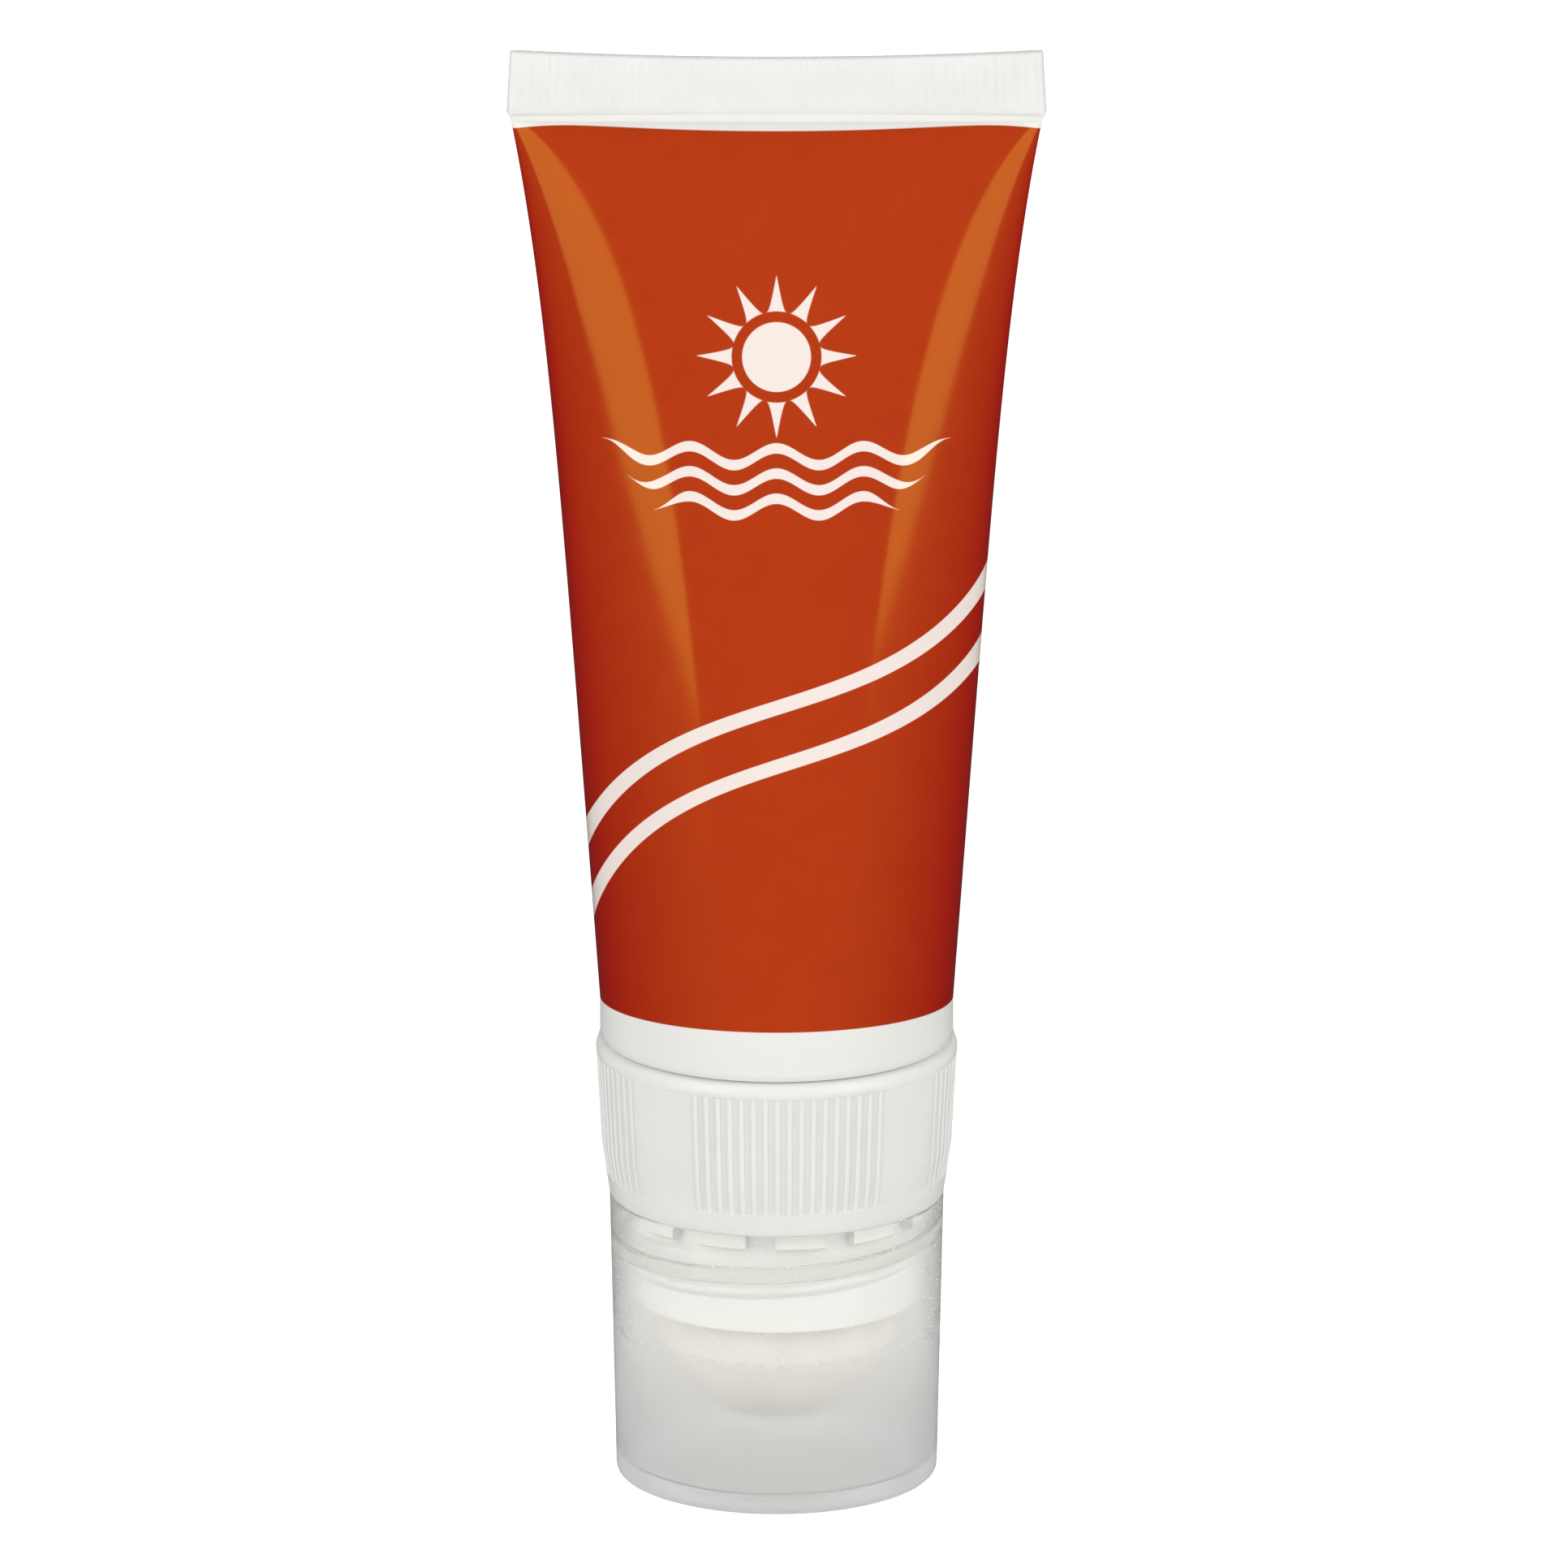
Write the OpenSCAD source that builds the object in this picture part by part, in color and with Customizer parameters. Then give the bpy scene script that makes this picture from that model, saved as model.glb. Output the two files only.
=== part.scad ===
// Travel tube of sun cream that stands on its cap, with a lip balm stick in the closure.
// A round plastic sleeve is sealed flat at the top. Its neck points down into a ribbed
// closure, which also carries a twist-up balm stick under a frosted screw cap.
// Millimetres. The origin is the centre of the cap's base, +Z is up, the front faces -Y.

/* [Sleeve] */
// Outside diameter of the round end of the sleeve
tube_d = 25; // [23:0.1:28]
// Wall of the sleeve
sleeve_wall = 0.45; // [0.35:0.05:0.7]
// Length of sleeve that stays round above the closure
round_h = 2.5; // [1.5:0.1:8]
// Height over which the sleeve goes from round to flat
flare_h = 63.4; // [45:0.1:90]
// Share of the widening that is a straight taper
flare_straight = 0.76; // [0.6:0.01:0.95]
// How late the rest of the widening comes in
flare_curl = 5.5; // [3:0.1:8]
// How bluntly the depth falls away towards the seal
depth_fall = 0.45; // [0.35:0.01:0.7]

/* [Seal] */
// Height of the ridged part of the end seal
seal_h = 4.4; // [3:0.1:8]
// Height of the plain strip between the sleeve and the ridges
strip_h = 1.0; // [0.5:0.1:2]
// Thickness of the seal over its ridges
seal_t = 1.1; // [0.9:0.05:1.6]
// Depth of the ridges pressed into each face
ridge_d = 0.16; // [0.05:0.01:0.25]
// Distance from ridge to ridge
ridge_pitch = 0.72; // [0.6:0.02:1.5]
// How far the seal spreads past the sleeve at each side
seal_spread = 0.3; // [0.1:0.05:0.6]
// How much each side of the seal leans in towards its top
seal_lean = 0.25; // [0:0.05:0.5]

/* [Shoulder and neck] */
// Wall of the shoulder and of its skirt inside the sleeve
shoulder_t = 1.0; // [0.8:0.1:1.5]
// Height of the skirt that the sleeve is welded to
weld_h = 3.0; // [2:0.1:5]
// Width of the flat rim around the shoulder's cone
rim_w = 1.6; // [1.2:0.1:2.5]
// Height of the shoulder's cone
cone_h = 1.6; // [1:0.1:2.5]
// Outside diameter of the neck, under its thread
neck_d = 12; // [10:0.1:14]
// Length of the neck below the cone
neck_h = 5.6; // [4.6:0.1:6.2]
// Wall of the neck
neck_wall = 1.2; // [1:0.1:1.6]
// Thickness of the plate at the tip of the neck
plate_t = 1.0; // [0.8:0.1:1.5]
// Diameter of the outlet in that plate
outlet_d = 4; // [2:0.1:6]

/* [Closure] */
// Height of the outside of the ribbed closure
collar_h = 11.5; // [11:0.1:14]
// How far the top of the closure stands out past the sleeve
collar_proud = 0.3; // [0.1:0.05:0.8]
// Radius of the closure's rounded top edge
collar_edge = 0.8; // [0.3:0.1:1]
// Wall of the closure's skirt behind the ribs
collar_wall = 1.2; // [1:0.1:1.5]
// Height of the chin, the lower part that draws in to the cap
chin_h = 3.7; // [3:0.1:5]
// How far the chin draws in
chin_in = 0.58; // [0.3:0.02:0.8]
// Plain height below the ribs
rib_low = 1.6; // [1:0.1:2.6]
// Height of the smooth ring above the ribs
rib_top = 1.2; // [1:0.1:2]
// How far the ribs stand out of the recessed band
rib_depth = 0.25; // [0.15:0.01:0.35]
// Width of one rib
rib_w = 0.46; // [0.3:0.02:0.6]
// Angle from rib to rib
rib_step = 3.9; // [3.6:0.1:6]
// Ribs in each group
rib_count = 17; // [5:1:18]
// Groups of ribs round the closure
rib_groups = 4; // [3:1:4]
// Angle from the front to the middle of the front group
rib_turn = 4.2; // [-45:0.1:45]
// Thickness of the web between the neck's socket and the balm
web_t = 1.0; // [0.8:0.1:1.4]
// Wall of the socket that screws onto the neck
socket_wall = 1.2; // [1:0.1:1.5]
// Radial room for the thread between neck and socket
neck_thread = 0.8; // [0.6:0.05:1]
// Thickness of the sealing disc between the neck and the web
disc_t = 0.8; // [0.5:0.1:1.2]

/* [Cap] */
// Diameter of the cap where it meets the closure
cap_top_d = 23.7; // [23:0.1:24.4]
// Diameter of the cap at its base
cap_base_d = 22.8; // [22.2:0.1:24]
// Height of the cap
cap_h = 20.7; // [18:0.1:26]
// Wall of the cap
cap_wall = 0.7; // [0.5:0.05:0.9]
// Thickness of the cap's base
cap_floor = 1.3; // [1:0.1:2]
// Radius of the cap's bottom edge
cap_edge = 0.6; // [0.2:0.1:1]

/* [Balm stick] */
// Radial room for the thread between cap and barrel
barrel_thread = 0.9; // [0.7:0.05:1.1]
// Wall of the barrel
barrel_wall = 1.0; // [0.9:0.05:1.3]
// Length of the barrel
barrel_h = 10; // [9.4:0.1:12]
// Height of the bead that holds the barrel in the closure
bead_h = 1.2; // [0.8:0.1:1.6]
// How far the bead stands out of the barrel
bead_out = 0.65; // [0.4:0.05:0.8]
// Snap fingers round the closure's lower lip
finger_n = 12; // [6:1:16]
// Angle of the slot between two fingers
finger_slot = 11; // [6:0.5:14]
// How far the fingers reach down inside the cap
finger_reach = 1.4; // [0.8:0.1:2.5]
// Travel of the stick back into the barrel
stick_in = 3; // [2:0.1:3.5]
// Travel of the stick out of the barrel
stick_out = 2; // [1:0.1:2.4]
// Height of the carrier that pushes the balm
carrier_h = 3; // [2.4:0.1:3.2]
// Thickness of the carrier's base
carrier_t = 1.0; // [0.8:0.1:1.4]
// Wall of the carrier's skirt and of its threaded boss
carrier_wall = 0.75; // [0.6:0.05:1]
// Keys that stop the carrier from turning in the barrel
key_n = 4; // [2:1:6]
// Width of a key
key_w = 2.4; // [1.6:0.1:3]
// How far a key stands out of the carrier
key_out = 0.35; // [0.2:0.05:0.5]
// Diameter of the spindle
spindle_d = 3.2; // [2.6:0.1:4]
// Diameter of the flange at the spindle's root
flange_d = 8; // [6:0.1:10]
// Thickness of that flange
flange_t = 0.8; // [0.6:0.1:1.2]
// Radial gap between the balm and the barrel
balm_gap = 0.5; // [0.35:0.05:0.8]
// Radius of the balm's domed tip
balm_dome = 9; // [8.9:0.1:12]
// Room between the tip of the balm and the cap's base
tip_room = 2.7; // [2.6:0.1:5]

/* [Cream] */
// Height of the air left above the cream
air_h = 6.4; // [4:0.1:30]

/* [Hidden] */

$fn = 96;
loft_n = 64;
loft_rings = 20;
cream_n = 40;
cream_rings = 12;

// Clearances
seat_gap = 0.1;   // cap rim to closure
rest_gap = 0.2;   // closure to sleeve
disc_gap = 0.05;  // sealing disc to each side
run_gap = 0.08;   // turning and sliding fits
side_gap = 0.15;  // keys in their slots, fingers inside the cap
weld_gap = 0.03;  // skirt in the sleeve
cream_gap = 0.3;  // cream to the walls
stop_gap = 0.2;   // carrier to its stops
press_gap = 0.01; // spindle in the web
rib_under = 0.03; // rib crests under the closure's skin
rib_bite = 0.3;   // rib ends inside the plain rings
slot_root = 0.15; // left whole between the finger slots and the closure's rim
cut = 1;          // how far a cutting tool runs past what it cuts

// Radii, from the outside in
tube_r = tube_d / 2;
cap_r0 = cap_base_d / 2;
cap_r1 = cap_top_d / 2;
collar_r = tube_r + collar_proud;
collar_low_r = cap_r1;
chin_r = collar_low_r + chin_in;
skirt_r = collar_r - rib_depth - collar_wall;
neck_r = neck_d / 2;
neck_in_r = neck_r - neck_wall;
socket_r = neck_r + neck_thread;
boss_r = socket_r + socket_wall;
weld_r = tube_r - sleeve_wall - weld_gap;
spindle_r = spindle_d / 2;

// Heights, from the cap's base up
collar_z0 = cap_h + seat_gap;
collar_z1 = collar_z0 + collar_h;
sleeve_z = collar_z1 + rest_gap;
neck_tip = sleeve_z - cone_h - neck_h;
web_z1 = neck_tip - disc_t - 2 * disc_gap;
web_z0 = web_z1 - web_t;
socket_z = sleeve_z - cone_h - 2 * rest_gap;
chin_z = collar_z0 + chin_h;
rib_z0 = collar_z0 + rib_low;
rib_z1 = collar_z1 - rib_top;
round_z = sleeve_z + round_h;
strip_z = round_z + flare_h;
seal_z = strip_z + strip_h;

// Barrel and stick
barrel_z1 = web_z0 - stop_gap;
barrel_z0 = barrel_z1 - barrel_h;
bead_z = barrel_z1 - bead_h;
lip_z = bead_z - stop_gap;
finger_z = collar_z0 - finger_reach;
barrel_r = cap_skin(barrel_z0) - cap_wall - barrel_thread;
barrel_in_r = barrel_r - barrel_wall;
bead_r = barrel_r + bead_out;
groove_r = bead_r + run_gap;
lip_r = barrel_r + run_gap;
finger_r = cap_skin(finger_z) - cap_wall - side_gap;
carrier_z1 = web_z0 - flange_t - stop_gap - stick_in;
carrier_z0 = carrier_z1 - carrier_h;
cup_z = carrier_z1 - carrier_t;
carrier_r = barrel_in_r - run_gap;
key_r = carrier_r + key_out;
key_stop = carrier_z0 - stick_out - stop_gap / 2;
nut_r = spindle_r + run_gap;
nut_out_r = nut_r + carrier_wall;
spindle_z = carrier_z0 - stick_out;
balm_r = barrel_in_r - balm_gap;
balm_tip = cap_floor + tip_room;
balm_bore_z = spindle_z - stick_in - cream_gap;

// Sleeve: half width and half depth at share t of the way from round to flat
seal_half = PI * (tube_d - sleeve_wall - seal_t / 2) / 4;
function flare(t) = flare_straight * t + (1 - flare_straight) * pow(t, flare_curl);
function half_w(t) = tube_r + (seal_half - seal_spread - tube_r) * flare(t);
function half_d(t) = seal_t / 2 + (tube_r - seal_t / 2) * pow(1 - t, depth_fall);
function ease(u) = 1 - (1 - u) * (1 - u);

// Outside radius of the cap and of the closure at height z
function cap_skin(z) = cap_r0 + (cap_r1 - cap_r0) * z / cap_h;
function collar_skin(z) = z < chin_z
    ? collar_low_r + chin_in * (z - collar_z0) / chin_h
    : chin_r + (collar_r - chin_r) * (z - chin_z) / (collar_z1 - collar_edge - chin_z);

// Rings of the flaring sleeve, drawn in by inset, up to share u_end of the rings
function flare_rings(count, u_end, inset) = [
    for (i = [0 : count])
        let (t = ease(i / count * u_end))
        [half_w(t) - inset, half_d(t) - inset * pow(1 - t, depth_fall), round_z + flare_h * t]
];

// A closed skin over oval rings, each given as half width, half depth and height
module loft(rings, sides) {
    top = (len(rings) - 1) * sides;
    polyhedron(
        points = [for (r = rings) for (i = [0 : sides - 1])
            [r[0] * cos(360 * i / sides), r[1] * sin(360 * i / sides), r[2]]],
        faces = concat(
            [[for (i = [0 : sides - 1]) i]],
            [[for (i = [sides - 1 : -1 : 0]) top + i]],
            [for (k = [0 : len(rings) - 2]) for (i = [0 : sides - 1])
                let (a = k * sides + i, b = k * sides + (i + 1) % sides)
                each [[a, a + sides, b + sides], [a, b + sides, b]]]
        )
    );
}

// The flat end seal, with ridges pressed into both faces
module end_seal() {
    ridges = round(2 * seal_half / ridge_pitch);
    step = seal_half / ridges;
    lean = 1 - seal_lean / seal_half;
    translate([0, 0, seal_z])
        linear_extrude(height = seal_h, scale = [lean, 1], slices = 1)
            polygon(concat(
                [for (i = [0 : 2 * ridges])
                    [-seal_half + i * step, -seal_t / 2 + (i % 2) * ridge_d]],
                [for (i = [2 * ridges : -1 : 0])
                    [-seal_half + i * step, seal_t / 2 - (i % 2) * ridge_d]]
            ));
}

// Plain strip between the flaring sleeve and the ridges
module seal_strip() {
    strip_t = seal_t - 2 * ridge_d;
    width = 2 * half_w(1);
    translate([-width / 2, -strip_t / 2, strip_z - strip_h])
        cube([width, strip_t, 2 * strip_h + ridge_d]);
}

module tube_sleeve() {
    base = [tube_r, tube_r, sleeve_z];
    inner_r = tube_r - sleeve_wall;
    inner_base = [inner_r, inner_r, sleeve_z - cut];
    cavity_end = 0.97;
    color("orangered") difference() {
        union() {
            loft(concat([base], flare_rings(loft_rings, 1, 0)), loft_n);
            seal_strip();
            end_seal();
        }
        loft(concat([inner_base], flare_rings(loft_rings, cavity_end, sleeve_wall)), loft_n);
    }
}

module tube_shoulder() {
    cone_r = weld_r - rim_w;
    skirt_in_r = weld_r - shoulder_t;
    neck_top = sleeve_z - cone_h;
    color("whitesmoke") rotate_extrude() polygon([
        [weld_r, sleeve_z],
        [weld_r, sleeve_z + weld_h],
        [skirt_in_r, sleeve_z + weld_h],
        [skirt_in_r, sleeve_z + shoulder_t],
        [cone_r, sleeve_z + shoulder_t],
        [neck_in_r, neck_top + shoulder_t],
        [neck_in_r, neck_tip + plate_t],
        [outlet_d / 2, neck_tip + plate_t],
        [outlet_d / 2, neck_tip],
        [neck_r, neck_tip],
        [neck_r, neck_top],
        [cone_r, sleeve_z]
    ]);
}

// The cream fills the neck, the shoulder and the tube up to its level
module sun_cream() {
    cone_r = weld_r - rim_w - cream_gap;
    neck_fill_r = neck_in_r - cream_gap;
    skirt_fill_r = weld_r - shoulder_t - cream_gap;
    neck_low = neck_tip + plate_t + cream_gap;
    cone_low = sleeve_z - cone_h + shoulder_t + cream_gap;
    floor_z = sleeve_z + shoulder_t + cream_gap;
    skirt_z = sleeve_z + weld_h + cream_gap;
    inset = sleeve_wall + cream_gap;
    full_r = tube_r - inset;
    level = 1 - sqrt(air_h / flare_h);
    color("ivory") loft(concat(
        [
            [neck_fill_r, neck_fill_r, neck_low],
            [neck_fill_r, neck_fill_r, cone_low],
            [cone_r, cone_r, floor_z],
            [skirt_fill_r, skirt_fill_r, floor_z + cream_gap / 2],
            [skirt_fill_r, skirt_fill_r, skirt_z],
            [full_r, full_r, skirt_z + cream_gap]
        ],
        [for (i = [1 : cream_rings])
            let (t = ease(i / cream_rings * level))
            [half_w(t) - inset, half_d(t) - inset, round_z + flare_h * t]]
    ), cream_n);
}

module sealing_disc() {
    color("gainsboro") translate([0, 0, web_z1 + disc_gap])
        cylinder(r = socket_r - side_gap, h = disc_t);
}

// One half of the closure's section: skirt, web, socket for the neck, lip for the barrel
module collar_section() {
    polygon([
        [collar_low_r, collar_z0],
        [collar_skin(rib_z0), rib_z0],
        [collar_skin(rib_z0) - rib_depth, rib_z0],
        [chin_r - rib_depth, chin_z],
        [collar_skin(rib_z1) - rib_depth, rib_z1],
        [collar_skin(rib_z1), rib_z1],
        [collar_r, collar_z1 - collar_edge],
        [collar_r - collar_edge, collar_z1],
        [skirt_r, collar_z1],
        [skirt_r, web_z1],
        [boss_r, web_z1],
        [boss_r, socket_z],
        [socket_r, socket_z],
        [socket_r, web_z1],
        [spindle_r + press_gap, web_z1],
        [spindle_r + press_gap, web_z0],
        [groove_r, web_z0],
        [groove_r, lip_z],
        [lip_r, lip_z],
        [lip_r, finger_z],
        [finger_r, finger_z],
        [finger_r, collar_z0]
    ]);
    translate([collar_r - collar_edge, collar_z1 - collar_edge]) circle(r = collar_edge);
}

// The ribs stop just under the closure's skin and run into the plain rings at both ends
module collar_ribs() {
    root = 2 * rib_depth;
    low = rib_z0 - rib_bite;
    high = rib_z1 + rib_bite;
    group_span = (rib_count - 1) * rib_step;
    intersection() {
        rotate_extrude() polygon([
            [collar_skin(low) - root, low],
            [collar_skin(low) - rib_under, low],
            [chin_r - rib_under, chin_z],
            [collar_skin(high) - rib_under, high],
            [collar_skin(high) - root, high],
            [chin_r - root, chin_z]
        ]);
        for (g = [0 : rib_groups - 1]) for (i = [0 : rib_count - 1])
            rotate(rib_turn - 90 + g * 360 / rib_groups - group_span / 2 + i * rib_step)
                translate([collar_low_r - cut, -rib_w / 2, low - cut])
                    cube([collar_r - collar_low_r + 2 * cut, rib_w, high - low + 2 * cut]);
    }
}

// Cutters for the slots that part the lip into snap fingers
module finger_slots() {
    slot_w = 2 * finger_r * sin(finger_slot / 2);
    first = -96;
    for (i = [0 : finger_n - 1])
        rotate(first + i * 360 / finger_n)
            translate([lip_r - cut, -slot_w / 2, finger_z - cut])
                cube([finger_r - lip_r + 2 * cut, slot_w, finger_reach + cut - slot_root]);
}

module ribbed_closure() {
    color("white") difference() {
        union() {
            rotate_extrude() collar_section();
            collar_ribs();
        }
        finger_slots();
    }
}

module balm_spindle() {
    color("gainsboro") {
        translate([0, 0, spindle_z]) cylinder(r = spindle_r, h = web_z1 - spindle_z);
        translate([0, 0, web_z0 - flange_t]) cylinder(d = flange_d, h = flange_t);
    }
}

module balm_barrel() {
    slot_w = key_w + 2 * side_gap;
    slot_r = key_r + side_gap;
    color("white") difference() {
        rotate_extrude() polygon([
            [barrel_in_r, barrel_z0],
            [barrel_r, barrel_z0],
            [barrel_r, bead_z],
            [bead_r, bead_z],
            [bead_r, barrel_z1],
            [barrel_in_r, barrel_z1]
        ]);
        intersection() {
            translate([0, 0, key_stop]) cylinder(r = slot_r, h = barrel_z1 - key_stop + cut);
            for (i = [0 : key_n - 1])
                rotate(i * 360 / key_n)
                    translate([0, -slot_w / 2, key_stop])
                        cube([barrel_r, slot_w, barrel_z1 - key_stop + cut]);
        }
    }
}

module balm_carrier() {
    color("gainsboro") {
        rotate_extrude() polygon([
            [nut_r, carrier_z0],
            [nut_out_r, carrier_z0],
            [nut_out_r, cup_z],
            [carrier_r - carrier_wall, cup_z],
            [carrier_r - carrier_wall, carrier_z0],
            [carrier_r, carrier_z0],
            [carrier_r, carrier_z1],
            [nut_r, carrier_z1]
        ]);
        intersection() {
            difference() {
                translate([0, 0, carrier_z0]) cylinder(r = key_r, h = carrier_h);
                translate([0, 0, carrier_z0 - cut])
                    cylinder(r = carrier_r - carrier_wall / 2, h = carrier_h + 2 * cut);
            }
            for (i = [0 : key_n - 1])
                rotate(i * 360 / key_n)
                    translate([0, -key_w / 2, carrier_z0])
                        cube([barrel_r, key_w, carrier_h]);
        }
    }
}

// Wax cast into the carrier, bored for the spindle and domed at its tip
module lip_balm() {
    fill_gap = press_gap;
    cup_r = carrier_r - carrier_wall - fill_gap;
    color("antiquewhite") rotate_extrude() intersection() {
        polygon([
            [0, balm_tip],
            [balm_r, balm_tip],
            [balm_r, carrier_z0 - fill_gap],
            [cup_r, carrier_z0 - fill_gap],
            [cup_r, cup_z - fill_gap],
            [nut_out_r + fill_gap, cup_z - fill_gap],
            [nut_out_r + fill_gap, carrier_z0 - fill_gap],
            [nut_r + fill_gap, carrier_z0 - fill_gap],
            [nut_r + fill_gap, balm_bore_z],
            [0, balm_bore_z]
        ]);
        union() {
            translate([0, balm_tip + balm_dome]) circle(r = balm_dome);
            translate([0, balm_tip + balm_dome]) square([balm_r, cup_z]);
        }
    }
}

module frosted_cap() {
    color([0.85, 0.85, 0.84, 0.6]) rotate_extrude() {
        polygon([
            [0, 0],
            [cap_r0 - cap_edge, 0],
            [cap_skin(cap_edge), cap_edge],
            [cap_r1, cap_h],
            [cap_r1 - cap_wall, cap_h],
            [cap_skin(cap_floor) - cap_wall, cap_floor],
            [0, cap_floor]
        ]);
        translate([cap_r0 - cap_edge, cap_edge]) circle(r = cap_edge);
    }
}

tube_sleeve();
tube_shoulder();
sun_cream();
sealing_disc();
ribbed_closure();
balm_spindle();
balm_barrel();
balm_carrier();
lip_balm();
frosted_cap();
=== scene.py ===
import math

import bmesh
import bpy
from bpy.props import FloatProperty, FloatVectorProperty, IntProperty, PointerProperty
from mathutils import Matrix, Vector


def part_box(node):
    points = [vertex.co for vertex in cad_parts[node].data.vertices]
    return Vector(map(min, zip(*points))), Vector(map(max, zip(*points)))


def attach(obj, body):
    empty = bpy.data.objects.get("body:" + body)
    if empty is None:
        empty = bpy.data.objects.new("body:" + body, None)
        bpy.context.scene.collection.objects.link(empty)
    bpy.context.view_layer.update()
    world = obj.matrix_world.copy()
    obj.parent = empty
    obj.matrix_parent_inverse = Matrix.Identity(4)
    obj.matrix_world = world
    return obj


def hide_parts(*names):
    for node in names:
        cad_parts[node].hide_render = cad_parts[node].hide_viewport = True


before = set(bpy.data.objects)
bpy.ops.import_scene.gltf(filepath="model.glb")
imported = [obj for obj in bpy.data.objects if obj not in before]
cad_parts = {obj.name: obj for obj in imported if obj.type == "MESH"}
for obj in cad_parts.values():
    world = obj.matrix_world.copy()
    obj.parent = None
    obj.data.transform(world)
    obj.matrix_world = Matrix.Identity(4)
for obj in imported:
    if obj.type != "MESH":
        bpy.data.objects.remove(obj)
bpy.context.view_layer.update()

bl_info = {
    "name": "Sun cream tube",
    "version": (1, 0, 0),
    "blender": (4, 5, 0),
    "location": "View3D > Sidebar > Tube",
    "description": "Dresses the frame of a sun cream tube with a lip balm stick in its closure",
    "category": "Object",
}

MM = 0.001
SLEEVE_LOW, SLEEVE_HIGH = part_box("tube_sleeve")
CLOSURE_LOW, CLOSURE_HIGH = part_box("ribbed_closure")
BARREL_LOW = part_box("balm_barrel")[0]
CAP_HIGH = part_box("frosted_cap")[1]
NECK_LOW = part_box("tube_shoulder")[0]

# Press of a row of the sleeve's sheet that closes it in the middle
SHUT = 1.0
# How far the film widens up to the seal at each side, and the depth of the groove under the ridges
SEAL_SPREAD, SEAL_GROOVE = 0.27 * MM, 0.06 * MM

# Print: height of the upper stripe in millimetres, as a polynomial of the angle from the front
STRIPE_CLIMB = (59.04, 4.576, -1.442, 2.281, 0.193, -0.677)
# How much wider a stripe and the step to the next get with the square of that angle
BAND_SWELL, STEP_SWELL = 0.45, 0.12
# How much the print's upper edge climbs towards the sides, and falls again at the corners
TOP_RISE, TOP_DROOP = 0.5 * MM, 0.7 * MM
# Half width of the step from ink to no ink
BLUR = 0.04 * MM
# Sun: radius of the disc, then foot, tip and half width of a ray
SUN_DISC, RAY_ROOT, RAY_TIP, RAY_HALF = 2.4 * MM, 3.1 * MM, 5.6 * MM, 0.5 * MM
# Waves: crest to crest, height of a crest, half thickness, thinning end, and what each row is shorter
WAVE_LENGTH, WAVE_SWELL, WAVE_HALF, WAVE_TAPER, WAVE_SHORTER = (
    6.0 * MM, 0.6 * MM, 0.36 * MM, 2.5 * MM, 1.8 * MM)

# Closure inside: radius of the bore, heights of the web's two faces, radius of the spindle's hole
BORE, WEB_TOP, WEB_FOOT, HOLE = 11.35 * MM, 24.4 * MM, 23.4 * MM, 1.61 * MM
# Socket for the neck: outside and inside radius, height of its mouth
SOCKET_OUTER, SOCKET_INNER, SOCKET_TOP = 8.0 * MM, 6.8 * MM, 30.5 * MM
# Groove for the barrel's bead: its radius, and the height of the lip under it
BEAD_SEAT, LIP_TOP = 10.82 * MM, 21.8 * MM

# Hollow under the cap's base: its depth, and the width of the ring round it
HOLLOW, FOOT_RING = 0.25 * MM, 2.4 * MM
# Height at which the radius of the cap's bore is taken for its thread
THREAD_LEVEL = 16.5 * MM

# Threads: turns, start angle, height of the foot over the end of its part, widths at root and crest
THREADS = {
    "neck_thread": (1.4, 0.0, 0.9 * MM, 1.0 * MM, 0.45 * MM),
    "barrel_thread": (1.6, 0.3, 1.2 * MM, 1.3 * MM, 0.5 * MM),
    "cap_thread": (1.5, 0.3, 2.6 * MM, 1.2 * MM, 0.5 * MM),
}

# Each softbox, its direction from the front in degrees and its share of the brightness
SOFTBOXES = (("left_softbox", -47, 1.0), ("right_softbox", 53, 1.0), ("back_softbox", 180, 0.2))
# Width and height of each softbox, its distance and the height of its middle, in metres
LAMP_WIDE, LAMP_TALL, LAMP_AWAY, LAMP_MIDDLE = 0.25, 0.5, 0.5, 0.255
# Half width of the floor in metres
FLOOR_HALF = 4.0


# Settings

def length(label, text, value):
    """A size in metres whose default is given in millimetres."""
    return FloatProperty(name=label, description=text, default=value * MM, min=0.0,
                         precision=5, unit="LENGTH")


def number(label, text, value):
    """A number from 0 up."""
    return FloatProperty(name=label, description=text, default=value, min=0.0)


def whole(label, text, value):
    """A whole number from 1 up."""
    return IntProperty(name=label, description=text, default=value, min=1)


def factor(label, text, value):
    """A number from 0 to 1."""
    return FloatProperty(name=label, description=text, default=value, min=0.0, max=1.0, subtype="FACTOR")


def degrees(label, text, value):
    """An angle whose default is given in degrees."""
    return FloatProperty(name=label, description=text, default=math.radians(value), subtype="ANGLE")


def colour(label, text, red, green, blue):
    """A colour whose default is given as a screen colour from 0 to 255."""
    return FloatVectorProperty(name=label, description=text, default=screen(red, green, blue),
                               min=0.0, max=1.0, size=3, subtype="COLOR")


def screen(red, green, blue):
    """Linear light for a screen colour from 0 to 255."""
    return tuple((c / 255 / 12.92) if c < 11 else ((c / 255 + 0.055) / 1.055) ** 2.4
                 for c in (red, green, blue))


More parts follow.
